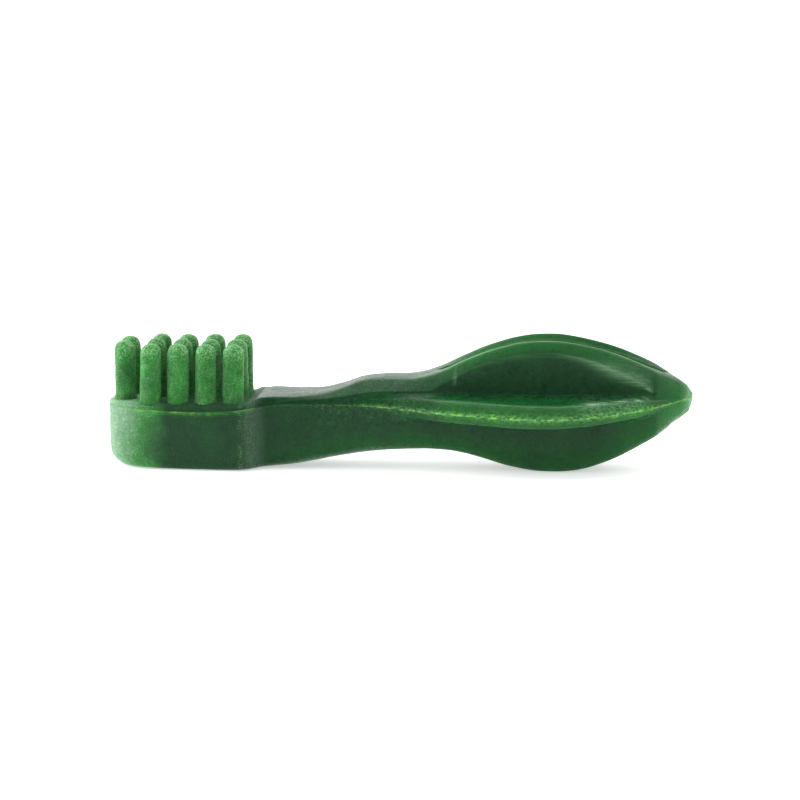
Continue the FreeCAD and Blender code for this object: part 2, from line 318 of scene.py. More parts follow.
def bend(before, corner, after, t):
    """The point at t, from 0 to 1, on the curve that rounds off a corner."""
    t = t[:, None]
    return (1 - t) ** 2 * before + 2 * t * (1 - t) * corner + t * t * after


def rounded_path(keys, softness):
    """Points along the keys' polyline, with each corner but the first rounded off. The last key
    is on the middle plane, so its corner is the one that it makes with the mirrored half."""
    keys = np.concatenate([keys, keys[:, -2:-1] * [-1, 1]], axis=1)
    run = np.linalg.norm(np.diff(keys, axis=1), axis=-1) + 1e-6

    def cut(key, side):
        """How far along a side its corner's rounding reaches."""
        return np.minimum(0.5, softness[key] / run[:, side])

    points = [keys[:, 0]]
    for k, steps in enumerate(KEY_STEPS):
        here, there = keys[:, k], keys[:, k + 1]
        cut_here, cut_there = cut(k, k), cut(k + 1, k)
        for j in range(1, steps + 1):
            f = 0.5 - 0.5 * math.cos(math.pi * j / steps)
            point = blend(here, there, f)
            if k > 0:
                start = blend(here, keys[:, k - 1], cut(k, k - 1)[:, None])
                end = blend(here, there, cut_here[:, None])
                curved = bend(start, here, end, 0.5 + 0.5 * f / cut_here)
                point = np.where((f < cut_here)[:, None], curved, point)
            start = blend(there, here, cut_there[:, None])
            end = blend(there, keys[:, k + 2], cut(k + 1, k + 1)[:, None])
            curved = bend(start, there, end, 0.5 - 0.5 * (1 - f) / cut_there)
            point = np.where((f > 1 - cut_there)[:, None], curved, point)
            points.append(point)
    return np.stack(points, axis=1)


# ---------------------------------------------------------------- the whole moulding as a grid
STATION_STEP = 0.4
HEAD_STATIONS = [0.0, 0.04, 0.1, 0.18, 0.28, 0.4, 0.6, 0.8]
HEAD_STATIONS_END = 1.0
END_ROUND = 0.9           # the tip's blunt end is rounded over this length
END_STATIONS = 8
END_CLOSING = 0.96        # below 1, so that the end stays blunt
END_LIFT = 0.05           # the end closes in on a point this far above the flash line
BOX_GAP = 0.01            # the visible shape stays this far inside the CAD's overall box
KEY_INDEX = np.concatenate([[0], np.cumsum(KEY_STEPS)])
WAVE, RIPPLE, GRAIN = 0.07, 0.045, 0.008        # depths of the skin's unevenness
WAVE_SIZE, RIPPLE_SIZE, GRAIN_SIZE = 9.0, 3.2, 0.8
CALM_HEIGHT = 1.2         # the unevenness fades out over this height, towards the floor
HEAD_GRAIN = 4.5          # times as much more grain on the head
CHIP_DEPTH, CHIP_SIZE = 0.25, 0.9               # of the chips at the tip's end
FLASH_HEIGHT = 0.2        # on average, and how far it varies from there, more so on the head
FLASH_RAGGEDNESS, HEAD_FLASH_RAGGEDNESS = 0.11, 0.09
HIGHEST_FLASH = 0.5
FLASH_PART, HEAD_FLASH_PART = 0.8, 0.5          # of that height, and the head's addition
FLASH_WIDTH = 0.16        # in key points
COARSE_TEETH, FINE_TEETH, FINE_PART = 1.3, 0.5, 0.8
HEAD_REACH = (24.0, 30.0) # the head's own roughness fades out between these two u
TIP_WEAR = (2.2, 0.3)     # and the tip's wear grows between these distances from its end
SETTLE = 0.05             # the skin is set in by this much to make room for the unevenness


def stations():
    """u of every section: even, finer at both ends, and exact where pieces meet."""
    tip_end = [LENGTH - END_ROUND * (1 - math.sin(a)) for a in np.linspace(0, 1.45, END_STATIONS)]
    us = list(HEAD_STATIONS)
    bounds = [HEAD_STATIONS_END, HEAD_END, NECK_END, TIP_START, tip_end[0]]
    for low, high in zip(bounds, bounds[1:]):
        us += list(np.linspace(low, high, max(2, round((high - low) / STATION_STEP)))[:-1])
    return np.array(us + tip_end)


def rough(points, size, seed):
    """Smooth noise from about -1 to 1 with features of the given size in millimetres."""
    shift = Vector((seed * 7.31, seed * 3.17, seed * 5.73))
    flat = points.reshape(-1, 3) / size
    return np.array([noise.noise(Vector(p) + shift) for p in flat]).reshape(points.shape[:-1])


def to_full_height(points, reach):
    """Makes good the height that rounding the crests took away."""
    points[..., 1] *= (reach / points[..., 1].max(axis=1))[:, None]
    return points


def grid_normals(grid):
    """The skin's outward direction at each point."""
    along = np.gradient(grid, axis=0)
    around = np.roll(grid, -1, axis=1) - np.roll(grid, 1, axis=1)
    normal = np.cross(along, around)
    return normal / (np.linalg.norm(normal, axis=-1, keepdims=True) + 1e-9)


def upper_softness(us):
    """How far each upper corner is rounded. The neck has crisper crests and softer creases."""
    softness = list(UPPER_SOFTNESS)
    softness[CREST] = blend(NECK_CREST_SOFTNESS, softness[CREST], smoothstep(*CREST_CHANGE, us))
    softness[CREASE] = blend(NECK_CREASE_SOFTNESS, softness[CREASE], smoothstep(*CREASE_CHANGE, us))
    return softness


def moulding():
    """The skin of head, neck and handle: a grid of stations by points round the section. Point 0
    is the middle of the top, and the points run by the left edge to the bottom and back."""
    us = stations()
    level = parting_z(us)[:, None]
    upper = rounded_path(upper_keys(us), upper_softness(us))
    upper = to_full_height(upper, top_z(us) - level[:, 0])
    lower = rounded_path(lower_keys(us), LOWER_SOFTNESS)
    lower = to_full_height(lower, level[:, 0] - bottom_z(us))
    top = np.stack([upper[:, ::-1, 0], level + upper[:, ::-1, 1]], axis=-1)
    bottom = np.stack([lower[:, 1:, 0], level - lower[:, 1:, 1]], axis=-1)
    half = np.concatenate([top, bottom], axis=1)
    mirrored = half[:, -2:0:-1] * [-1, 1]
    ring = np.concatenate([half, mirrored], axis=1)
    x = np.broadcast_to((START_X + us)[:, None], ring.shape[:2])
    grid = np.stack([x, ring[..., 0], ring[..., 1]], axis=-1)
    closing = np.clip((us - (LENGTH - END_ROUND)) / END_ROUND, 0, 1)
    shrink = np.sqrt(1 - END_CLOSING * closing ** 2)[:, None]
    centre_z = (parting_z(us) + END_LIFT)[:, None]
    grid[..., 1] *= shrink
    grid[..., 2] = centre_z + (grid[..., 2] - centre_z) * shrink
    return us, grid


def key_places():
    """For each point round the section, which key it lies at, and whether in the lower half."""
    quarter = KEY_INDEX[-1]
    ring = np.arange(4 * quarter)
    around = np.minimum(ring, 4 * quarter - ring)
    key = np.interp(np.abs(around - quarter), KEY_INDEX, np.arange(len(KEY_INDEX)))
    return key, around > quarter


def near_key(key, place, width):
    """1 at the key and falling off around it. The width may differ from section to section."""
    return np.exp(-((key[None, :] - place) / width) ** 2)


def tip_end_part(u):
    """1 at the tip's blunt end and 0 a little way in from it."""
    far, near = TIP_WEAR
    return smoothstep(LENGTH - far, LENGTH - near, u)


def weather(us, grid):
    """Adds what moulding and handling leave: waves, grain, a ragged flash line and chips."""
    normal = grid_normals(grid)
    u = us[:, None]
    key, lower = key_places()
    off_floor = smoothstep(0.0, CALM_HEIGHT, grid[..., 2])
    head_part = 1 - smoothstep(*HEAD_REACH, u)
    waves = WAVE * rough(grid, WAVE_SIZE, 1) + RIPPLE * rough(grid, RIPPLE_SIZE, 2)
    grain = GRAIN * rough(grid, GRAIN_SIZE, 3)
    grain = grain * (1 + HEAD_GRAIN * head_part)
    line = grid * [1, 0.1, 0.1]
    ragged = rough(line, COARSE_TEETH, 4) + FINE_PART * rough(line, FINE_TEETH, 5)
    spread = FLASH_RAGGEDNESS + HEAD_FLASH_RAGGEDNESS * head_part
    height = np.clip(FLASH_HEIGHT + spread * ragged, 0, HIGHEST_FLASH)
    part = FLASH_PART + HEAD_FLASH_PART * head_part
    flash = near_key(key, FLASH, FLASH_WIDTH) * height * part
    chips = CHIP_DEPTH * tip_end_part(u) * rough(grid, CHIP_SIZE, 6)
    move = (waves + grain + chips) * off_floor + flash - SETTLE
    grid = grid + normal * move[..., None]
    return np.clip(grid, cad_low / MM + BOX_GAP, cad_high / MM - BOX_GAP)


# ---------------------------------------------------------------- marks for the materials
# Each function gives a value from 0 to 1 for every point of the grid. key is the place round the
# section, and lower and right are true below the flash line and on the right side.
WING_Y = (6.6, 9.0)                             # the wings' painted glow begins between these
# The crest and keel windows below hold painted light: a glow through the upper crests, and light
# from the floor on the lower ridges.
CREST_GLOW = (54.0, 63.0, 88.0, 95.0)           # windows: the u where each mark starts, is full,
KEEL_GLOW = (26.0, 34.0, 88.0, 95.0)            # begins to fade, and ends
# The next two windows hold painted light: highlights along the edges, and a sheen on the flanks.
EDGE_HIGHLIGHTS = (42.0, 56.0, 94.0, 97.5)
FLANK_SHEEN = (56.0, 60.0, 92.6, 93.6)
FAINT_FLASH = (24.0, 29.0, 38.0, 52.0)
WRINKLES = (79.0, 83.0, 91.0, 93.5)
FLASH_SPECKS = (32.0, 40.0, 58.0, 72.0)
COLLAR = (38.0, 45.0, 52.0, 60.0)
SCAR_U, SCAR_WIDTH = 59.8, 0.22                 # of a short scar across the right upper flank, whose step has a painted highlight


def glow_through_places(u, key, lower, y):
    """Painted light: a glow of light coming through the wings and their rims, the upper crests and
    the tip, and painted light from the floor on the lower ridges.
    """
    wing = smoothstep(*WING_Y, y) * smoothstep(46.0, 60.0, u)
    rim = near_key(key, FLASH, 1.6) * smoothstep(50.0, 61.0, u)
    crest = near_key(key, CREST + 0.3, 1.1) * window(u, *CREST_GLOW)
    # painted light from the floor below, on the lower ridges
    keel = near_key(key, CREST - 0.2, 2.0) * window(u, *KEEL_GLOW)
    crest = np.where(lower, 0.42 * keel, crest)
    # painted glow of light through the tip
    tip = smoothstep(LENGTH - 9.0, LENGTH, u)
    # painted glow through the lower side towards the tip
    ends = np.where(lower, 0.35, 0.0) * smoothstep(82.0, 95.0, u)
    return np.clip(0.14 * wing + 0.42 * rim * wing + 0.75 * crest + 0.85 * tip + ends, 0, 1)


def wear_and_highlight_places(u, key, lower, right):
    """Painted highlights on the crests, lips and wings' corners, a painted sheen at the flanks'
    ends, a painted highlight on the scar's step, and real pale chips at the tip.
    """
    # painted highlights along the crests, lips and wing corners
    edges = near_key(key, CREST, 0.2) + 0.6 * near_key(key, LIP, 0.2)
    edges = edges + 0.5 * near_key(key, CORNER, 0.25) * smoothstep(50.0, 62.0, u)
    edges = edges * window(u, *EDGE_HIGHLIGHTS)
    # painted sheen along the flank's shoulder, widening towards its end
    sheen_width = 0.14 + 0.36 * smoothstep(79.0, 90.0, u)
    sheen = near_key(key, SHOULDER - 0.15, sheen_width) * window(u, *FLANK_SHEEN)
    sheen = sheen * (0.3 + 0.7 * smoothstep(76.0, 86.0, u))
    # painted highlight on the scar's step
    scar = 0.8 * near_key(key, SHOULDER - 0.2, 0.7) * np.exp(-((u - SCAR_U) / SCAR_WIDTH) ** 2)
    wear_and_highlight = np.where(lower, 0.3 * edges, edges + sheen + scar * right)
    # plus real pale chips and rubbing at the tip's end
    return np.clip(wear_and_highlight + tip_end_part(u), 0, 1)


def flash_places(u, key):
    """Where the flash line's painted glow goes: broad on the head, faint on the neck, and all over
    the tip's blunt end.
    """
    width = 0.24 + 0.16 * (1 - smoothstep(23.0, 27.0, u)) + 0.1 * smoothstep(56.0, 74.0, u)
    width = width + 1.5 * smoothstep(LENGTH - 1.8, LENGTH - 0.2, u)
    line = near_key(key, FLASH, width) * smoothstep(1.0, 9.0, u)
    return line * (1 - 0.8 * window(u, *FAINT_FLASH))


def wrinkled_places(u, key, lower, right):
    """Crumpled skin on top of the wings' ends, mostly on the right wing."""
    wing_end = near_key(key, RIM - 0.3, 1.2) * window(u, *WRINKLES)
    return wing_end * np.where(lower, 0.0, np.where(right, 1.0, 0.3))


def dusty_places(u, key, lower):
    """Fine specks: beside the flash line where the wings begin, and on the collar above."""
    by_line = near_key(key, FLASH, 2.6) * window(u, *FLASH_SPECKS)
    collar = near_key(key, CREST + 0.5, 1.8) * window(u, *COLLAR)
    return np.maximum(by_line, np.where(lower, 0.0, collar))


def surface_marks(us, grid):
    """Every mark by the name of the mesh attribute that carries it to the materials."""
    u = us[:, None]
    key, lower = key_places()
    right = grid[..., 1] < 0
    return {"glow_through": glow_through_places(u, key, lower, np.abs(grid[..., 1])),
            "wear_and_highlight": wear_and_highlight_places(u, key, lower, right),
            "flash": flash_places(u, key),
            "wrinkled": wrinkled_places(u, key, lower, right),
            "dusty": dusty_places(u, key, lower)}


# ---------------------------------------------------------------- meshes
SLAB_COVER = 0.4          # the handle's core lies at least this deep under the channels


def make_object(name, verts, faces, smooth, normals=None, attributes=None):
    """A mesh object in metres. normals has one vector for each corner of each face, and a zero
    vector leaves that corner's normal to Blender."""
    mesh = bpy.data.meshes.new(name)
    mesh.from_pydata((np.asarray(verts) * MM).tolist(), [], faces)
    mesh.polygons.foreach_set("use_smooth", smooth)
    for key, values in (attributes or {}).items():
        layer = mesh.attributes.new(key, "FLOAT", "POINT")
        layer.data.foreach_set("value", np.asarray(values, dtype=np.float32))
    mesh.update()
    if normals is not None:
        mesh.normals_split_custom_set(normals)
    obj = bpy.data.objects.new(name, mesh)
    bpy.context.scene.collection.objects.link(obj)
    return obj


def loft(name, skin, skin_normals, inner, marks):
    """A closed piece. skin is (stations, points, 3), the part of the moulding's skin that the
    piece shows, and inner is (stations, points, 3), its hidden inside, going on from the skin's
    last point back to its first. inner is None where the skin goes all the way round."""
    section = skin if inner is None else np.concatenate([skin, inner], axis=1)
    rows, count = section.shape[:2]
    shown = skin.shape[1]
    verts = section.reshape(-1, 3)
    padded = np.zeros_like(section)
    padded[:, :shown] = skin_normals
    padded = padded.reshape(-1, 3)
    attributes = {}
    for mark_name, values in marks.items():
        whole = np.zeros(section.shape[:2])
        whole[:, :shown] = values
        attributes[mark_name] = whole.ravel()
    faces, smooth, normals = [], [], []
    automatic = (0.0, 0.0, 0.0)
    for r in range(rows - 1):
        for c in range(count):
            n = (c + 1) % count
            face = [r * count + c, (r + 1) * count + c, (r + 1) * count + n, r * count + n]
            is_skin = inner is None or (c < shown - 1)
            faces.append(face)
            smooth.append(is_skin)
            normals += [tuple(padded[v]) if is_skin else automatic for v in face]
    first_cap = list(range(count))
    last_cap = [(rows - 1) * count + c for c in reversed(range(count))]
    for cap in (first_cap, last_cap):
        faces.append(cap)
        smooth.append(False)
        normals += [automatic] * count
    return make_object(name, verts, faces, smooth, normals, attributes)


def build_moulding():
    """Cuts the moulding's skin where the CAD's nodes meet, and closes each piece."""
    us, grid = moulding()
    grid = weather(us, grid)
    normals = grid_normals(grid)
    marks = surface_marks(us, grid)
    count = grid.shape[1]
    left_edge = KEY_INDEX[-1]
    up = left_edge - KEY_INDEX[CREASE]
    low = left_edge + KEY_INDEX[CREASE]
    bottom = 2 * left_edge
    spans = {"head": (0.0, HEAD_END), "neck": (HEAD_END, NECK_END),
             "handle": (NECK_END, TIP_START), "tip": (TIP_START, LENGTH)}
    rows = {part: np.where((us > a - 1e-6) & (us < b + 1e-6))[0] for part, (a, b) in spans.items()}

    def piece(name, part, indexes, inner=None):
        pick = np.ix_(rows[part], np.array(indexes) % count)
        part_marks = {mark_name: values[pick] for mark_name, values in marks.items()}
        return loft(name, grid[pick], normals[pick], inner, part_marks)

    pieces = {name: piece(name, name, range(count)) for name in ("head", "neck", "tip")}

    r = rows["handle"]
    straight_back = np.zeros((len(r), 0, 3))
    wings = {"left_wing": range(up, low + 1),
             "right_wing": range(count - low, count - up + 1)}
    for name, indexes in wings.items():
        pieces[name] = piece(name, "handle", indexes, straight_back)

    slab_top = grid[r, 0] * [1, 0, 1]
    slab_top[:, 2] = np.minimum(grid[r, up, 2], slab_top[:, 2] - SLAB_COVER)
    slab_bottom = grid[r, bottom] * [1, 0, 1]
    slab_bottom[:, 2] = np.maximum(grid[r, low, 2], slab_bottom[:, 2] + SLAB_COVER)
    ridges = {"upper_left_ridge": (range(0, up + 1), slab_top),
              "upper_right_ridge": (range(count - up, count + 1), slab_top),
              "lower_left_ridge": (range(low, bottom + 1), slab_bottom),
              "lower_right_ridge": (range(bottom, count - low + 1), slab_bottom)}
    for name, (indexes, slab) in ridges.items():
        pieces[name] = piece(name, "handle", indexes, slab[:, None])

    core = np.stack([grid[r, up], slab_top, grid[r, count - up], grid[r, count - low],
                     slab_bottom, grid[r, low]], axis=1)[:, ::-1]
    pieces["handle_core"] = loft("handle_core", core[:, :0], core[:, :0], core, {})
    return pieces


# ---------------------------------------------------------------- bristles
BRISTLE_SIDES = 56
BRISTLE_ROWS = 44
DOME_ROWS = 18
DOME_HEIGHT = 0.92        # of the bristle's radius at its top
DOME_FULLNESS = 0.85      # below 1, the dome is blunter than a sphere
FOOT_STEP = 0.12          # the stub above the flared foot is thinner by this much
FOOT_FLARE, FLARE_HEIGHT = 0.14, 0.35
FOOT_SINK = 0.2           # the foot goes on this far into the head
DENT_ROOM = 0.1           # the stub is thinner by this much, for its dents to stay in the box
TOP_GAP, HEIGHT_SPREAD = 0.03, 0.15
TAPER = (0.87, 0.93)      # a stub's radius at its top, as a part of the one at its foot
LEAN = 0.022              # sideways per mm of height, at most
LEAN_POWER = 1.5          # above 1, a stub leans more towards its top
SQUEEZE = (0.96, 1.0)     # of a stub across the chew
DENT_DEPTH, DENT_SIZE = 0.06, 1.6
STREAK_DEPTH, TOP_STREAK_DEPTH, STREAK_SIZE = 0.02, 0.035, 0.45
STREAK_STRETCH = 0.35     # a streak's width over its height
TOP_ZONE = (1.5, 1.2)     # frost and roughness grow from below the dome's start to above it
TOP_POINT_RISE = 0.02
STREAK_SEED = 20          # plus the bristle's own, so that streaks and dents differ


def bristle_profile(foot_r, top_r, height):
    """(radius, height) of each ring, and the height at which the dome begins."""
    dome = DOME_HEIGHT * top_r
    body = height - dome
    profile = [(foot_r, -FOOT_SINK)]
    for i in range(BRISTLE_ROWS):
        t = i / (BRISTLE_ROWS - 1)
        z = body * t
        flare = FOOT_FLARE * math.exp(-z / FLARE_HEIGHT)
        profile.append((blend(foot_r - FOOT_STEP, top_r, t) + flare - DENT_ROOM, z))
    for i in range(1, DOME_ROWS):
        a = 0.5 * math.pi * i / DOME_ROWS
        radius = top_r * math.cos(a) ** DOME_FULLNESS - DENT_ROOM * math.cos(a)
        profile.append((radius, body + dome * math.sin(a)))
    return profile, body


def bristle_faces(rows, count):
    """The foot's flat face, the rings' quads, and triangles up to the top point."""
    faces = [list(reversed(range(count)))]
    for r in range(rows - 1):
        for c in range(count):
            n = (c + 1) % count
            faces.append([r * count + c, r * count + n, (r + 1) * count + n, (r + 1) * count + c])
    last = (rows - 1) * count
    top_point = rows * count
    for c in range(count):
        faces.append([last + c, last + (c + 1) % count, top_point])
    return faces


def bristle(name, seed):
    """A stub with a slight taper, a flared foot and a rough dome, each a little different."""
    low, high = (np.array(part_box(name)[i]) / MM for i in (0, 1))
    centre = (low + high) / 2
    foot_r = (high[0] - low[0]) / 2
    rng = np.random.default_rng(seed)
    height = high[2] - HEAD_TOP - TOP_GAP - rng.uniform(0.0, HEIGHT_SPREAD)
    top_r = foot_r * rng.uniform(*TAPER)
    lean = rng.uniform(-LEAN, LEAN, 2)
    squeeze = rng.uniform(*SQUEEZE)
    profile, body = bristle_profile(foot_r, top_r, height)
    turn = np.linspace(0, 2 * math.pi, BRISTLE_SIDES, endpoint=False)
    rings = np.array([[(r * math.cos(a), r * math.sin(a) * squeeze, z) for a in turn]
                      for r, z in profile])
    outward = rings * [1, 1, 0]
    outward /= np.linalg.norm(outward, axis=-1, keepdims=True)
    place = rings + [centre[0], centre[1], HEAD_TOP]
    up_part = smoothstep(body - TOP_ZONE[0], body + TOP_ZONE[1], rings[..., 2])
    streaks = rough(place * [1, 1, STREAK_STRETCH], STREAK_SIZE, seed + STREAK_SEED)
    dents = DENT_DEPTH * rough(place, DENT_SIZE, seed)
    dents += (STREAK_DEPTH + TOP_STREAK_DEPTH * up_part) * streaks
    outward[..., 2] = up_part
    outward /= np.linalg.norm(outward, axis=-1, keepdims=True)
    place = place + outward * dents[..., None]
    sway = np.clip(rings[..., 2] / height, 0, 1) ** LEAN_POWER * height
    place[..., 0] += lean[0] * sway
    place[..., 1] += lean[1] * sway
    place[..., 2] = np.minimum(place[..., 2], high[2])
    top_point = place[-1].mean(axis=0) + [0, 0, TOP_POINT_RISE]
    verts = list(place.reshape(-1, 3)) + [np.minimum(top_point, high)]
    faces = bristle_faces(len(profile), BRISTLE_SIDES)
    smooth = [False] + [True] * (len(faces) - 1)
    frost = np.append(up_part.ravel(), 1.0)
    return make_object(name, verts, faces, smooth, None, {"frost": frost})


# ---------------------------------------------------------------- materials
IOR = 1.45
SPECULAR = 0.19
DARK_GEL = (0.0035, 0.044, 0.011, 1)
# the painted glow's colour, where light comes through the gel
GLOW_GEL = (0.011, 0.145, 0.018, 1)
MOTTLED_GEL = (0.02, 0.1, 0.035, 1)
DUST = (0.12, 0.28, 0.14, 1)
FINE_SPECKS = (0.14, 0.34, 0.15, 1)
# painted glow of light through the flash fin, and its painted glints
HANDLE_FLASH_GLOW = (0.22, 0.5, 0.16, 1)
HANDLE_GLINT = (0.33, 0.85, 0.13, 1)
# pale: painted highlights and sheen on the edges, and the tip's real pale rubbing
WEAR_AND_HIGHLIGHT = (0.22, 0.4, 0.24, 1)
SILVER_SKIN = (0.26, 0.47, 0.27, 1)
HANDLE_SCATTER = (0.12, 0.6, 0.15)              # mm for red, green and blue
FROSTED_SCATTER = (0.5, 2.2, 0.5)               # the same, for the head and bristles
REAR_EDGE_U = 23.5        # where the head's side turns in towards the neck
# painted sheen where the head's side turns in towards the neck and catches the light, over a little
# frost
REAR_FROST_AND_SHEEN = (0.04, 0.095, 0.052, 1)
REAR_SHEEN_FADE = (25.8, 27.8)
CRYSTALS = (0.36, 0.6, 0.33, 1)
HEAD_GEL = ((0.004, 0.044, 0.013, 1), (0.007, 0.064, 0.017, 1))
# painted glow through the head's free end, then a painted sheen over its frost
HEAD_GLOW_GEL = (0.026, 0.2, 0.035, 1)
HEAD_FROST_AND_SHEEN = (0.15, 0.28, 0.18, 1)
# the head's flash line: painted glow of light through the fin, and painted glints
HEAD_FLASH_GLOW = (0.06, 0.42, 0.04, 1)
HEAD_GLINT = (0.24, 0.8, 0.08, 1)
HEAD_SHEEN = 0.06
BRISTLE_GEL = ((0.012, 0.13, 0.018, 1), (0.02, 0.23, 0.026, 1))
BRISTLE_FROST = (0.04, 0.22, 0.045, 1)
BRISTLE_SHEEN = 0.22
SHEEN_ROUGHNESS = 0.35
SHEEN_TINT = (0.75, 1.0, 0.75, 1)


class Nodes:
    """Builds a material's nodes. Each call but feed adds one and returns its output."""

    def __init__(self, name):
        self.material = bpy.data.materials.new(name)
        self.material.use_nodes = True
        self.tree = self.material.node_tree
        self.shader = next(n for n in self.tree.nodes if n.type == "BSDF_PRINCIPLED")

    def add(self, kind, inputs=None, output=0, **settings):
        node = self.tree.nodes.new(kind)
        for key, value in settings.items():
            setattr(node, key, value)
        for key, value in (inputs or {}).items():
            self.feed(node.inputs[key], value)
        return node.outputs[output]

    def feed(self, socket, value):
        if isinstance(value, bpy.types.NodeSocket):
            self.tree.links.new(value, socket)
        else:
            socket.default_value = value

    def math(self, operation, a, b=0.0):
        return self.add("ShaderNodeMath", {0: a, 1: b}, operation=operation)

    def span(self, value, low, high, to_low=0.0, to_high=1.0):
        return self.add("ShaderNodeMapRange", {"Value": value, "From Min": low, "From Max": high,
                                               "To Min": to_low, "To Max": to_high})

    def mix(self, factor, a, b):
        return self.add("ShaderNodeMix", {0: factor, 6: a, 7: b}, output=2, data_type="RGBA")

    def stretched(self, point, scale, turn=(0.0, 0.0, 0.0)):
        return self.add("ShaderNodeMapping", {"Vector": point, "Scale": scale, "Rotation": turn})

    def noise(self, point, scale, detail=3.0, roughness=0.55, distortion=0.0):
        return self.add("ShaderNodeTexNoise", {"Vector": point, "Scale": scale, "Detail": detail,
                                               "Roughness": roughness, "Distortion": distortion})

    def bump(self, height, distance, strength, normal=None):
        inputs = {"Height": height, "Distance": distance, "Strength": strength}
        if normal is not None:
            inputs["Normal"] = normal
        return self.add("ShaderNodeBump", inputs)

    def mark(self, name):
        """One of the meshes' attributes."""
        return self.add("ShaderNodeAttribute", output=2, attribute_name=name)


def millimetres(n):
    """The point in the part's frame, in millimetres."""
    point = n.add("ShaderNodeTexCoord", output=3)
    return n.stretched(point, (1 / MM, 1 / MM, 1 / MM))


def along(n, mm):
    """u, the distance from the head's free end."""
    return n.math("SUBTRACT", n.add("ShaderNodeSeparateXYZ", {0: mm}), START_X)


def gel_finish(n, scatter_mm):
    """What all three materials share, set on the shader itself."""
    n.shader.inputs["IOR"].default_value = IOR
    n.shader.inputs["Specular IOR Level"].default_value = SPECULAR
    n.shader.inputs["Subsurface Weight"].default_value = 1.0
    n.shader.inputs["Subsurface Radius"].default_value = scatter_mm
    n.shader.inputs["Subsurface Scale"].default_value = MM


def gel_colour(n, mm, mottle):
    """The gel: dark green with mottling and a little dust, and a painted glow of light coming
    through where the gel is thinner.
    """
    cloud = n.noise(mm, 0.16, 3.0)
    speckle = n.noise(mm, 2.4, 4.0, 0.7)
    # painted glow: lighter green where light would come through the gel
    amount = n.math("ADD", n.mark("glow_through"), n.span(cloud, 0.35, 0.7, -0.06, 0.16))
    green = n.mix(n.span(amount, 0.0, 1.0), DARK_GEL, GLOW_GEL)
    green = n.mix(n.span(mottle, 0.5, 0.8, 0.0, 0.3), green, MOTTLED_GEL)
    dust = n.math("MULTIPLY", n.span(speckle, 0.6, 0.74), n.span(mottle, 0.4, 0.7))
    return n.mix(n.math("MULTIPLY", dust, 0.4), green, DUST)


def with_fine_specks(n, mm, mottle, green):
    specks = n.span(n.noise(mm, 3.6, 3.0, 0.7), 0.56, 0.66)
    specks = n.math("MULTIPLY", specks, n.span(mottle, 0.38, 0.6, 0.15, 1.0))
    specks = n.math("MULTIPLY", specks, n.mark("dusty"))
    return n.mix(n.math("MULTIPLY", specks, 0.6), green, FINE_SPECKS)


def with_flash_line(n, mm, green):
    """The flash line broken into dashes, painted as a glow of light through the fin, with painted
    glints here and there.
    """
    dashes = n.noise(n.stretched(mm, (0.7, 1.2, 1.2)), 2.2, 3.0, 0.65)
    flash = n.math("MULTIPLY", n.mark("flash"), n.span(dashes, 0.44, 0.54, 0.08, 0.8))
    glints = n.span(n.noise(mm, 0.45, 2.0), 0.52, 0.66)
    return n.mix(flash, green, n.mix(glints, HANDLE_FLASH_GLOW, HANDLE_GLINT))


def handle_material():
    """Dark green gel, with painted light: a glow where the gel is thinner and along the flash line,
    glints, highlights and sheen along its edges and by the head, and real pale chips at the tip.
    """
    n = Nodes("chew_handle")
    mm = millimetres(n)
    mottle = n.noise(mm, 0.9, 4.0, 0.6)
    streaks = n.noise(n.stretched(mm, (0.1, 2.0, 2.0), (0.0, 0.08, 0.05)), 1.4, 4.0, 0.7)
    folds = n.noise(n.stretched(mm, (0.8, 0.3, 0.3), (0.0, 0.0, 0.9)), 1.6, 3.0, 0.6, 1.4)
    scuffs = n.noise(n.stretched(mm, (0.35, 1.5, 1.5), (0.0, 0.3, 0.35)), 1.5, 4.0, 0.75, 0.8)
    # painted highlights and sheen, with the tip's real pale rubbing, broken into streaks
    highlight_and_wear = n.math("MULTIPLY", n.mark("wear_and_highlight"), n.span(streaks, 0.25, 0.6))
    wrinkled = n.mark("wrinkled")

    green = gel_colour(n, mm, mottle)
    green = with_fine_specks(n, mm, mottle, green)
    green = with_flash_line(n, mm, green)
    green = n.mix(n.math("MULTIPLY", highlight_and_wear, 0.75), green, WEAR_AND_HIGHLIGHT)
    # painted sheen by the head's rear corner, fading along the start of the neck
    green = n.mix(n.span(along(n, mm), *REAR_SHEEN_FADE, 1.0, 0.0), green, REAR_FROST_AND_SHEEN)
    silver = n.math("MULTIPLY", wrinkled, n.span(scuffs, 0.48, 0.6))
    green = n.mix(silver, green, SILVER_SKIN)

    dull = n.math("ADD", n.span(mottle, 0.3, 0.75, 0.23, 0.38), n.math("MULTIPLY", highlight_and_wear, 0.2))
    creased = n.math("MULTIPLY", n.math("ADD", folds, scuffs), wrinkled)
    normal = n.bump(creased, 0.00014, 0.5)
    normal = n.bump(streaks, 0.00004, 0.5, normal)
    normal = n.bump(n.noise(mm, 5.0, 3.0, 0.6), 0.00003, 0.25, normal)
    n.feed(n.shader.inputs["Base Color"], green)
    n.feed(n.shader.inputs["Roughness"], dull)
    n.feed(n.shader.inputs["Normal"], normal)
    gel_finish(n, HANDLE_SCATTER)
    return n.material


def crystals(n, mm):
    """Sugary specks: fine flecks that gather in coarser patches."""
    flecks = n.noise(n.stretched(mm, (1.0, 1.0, 0.85), (0.4, 0.2, 0.6)), 4.6, 3.0, 0.75, 0.3)
    patches = n.noise(n.stretched(mm, (1.0, 1.0, 0.7), (0.0, 0.5, 0.0)), 1.1, 3.0, 0.65, 0.5)
    return n.math("MULTIPLY", n.span(flecks, 0.47, 0.58), n.span(patches, 0.38, 0.54, 0.15, 1.0))


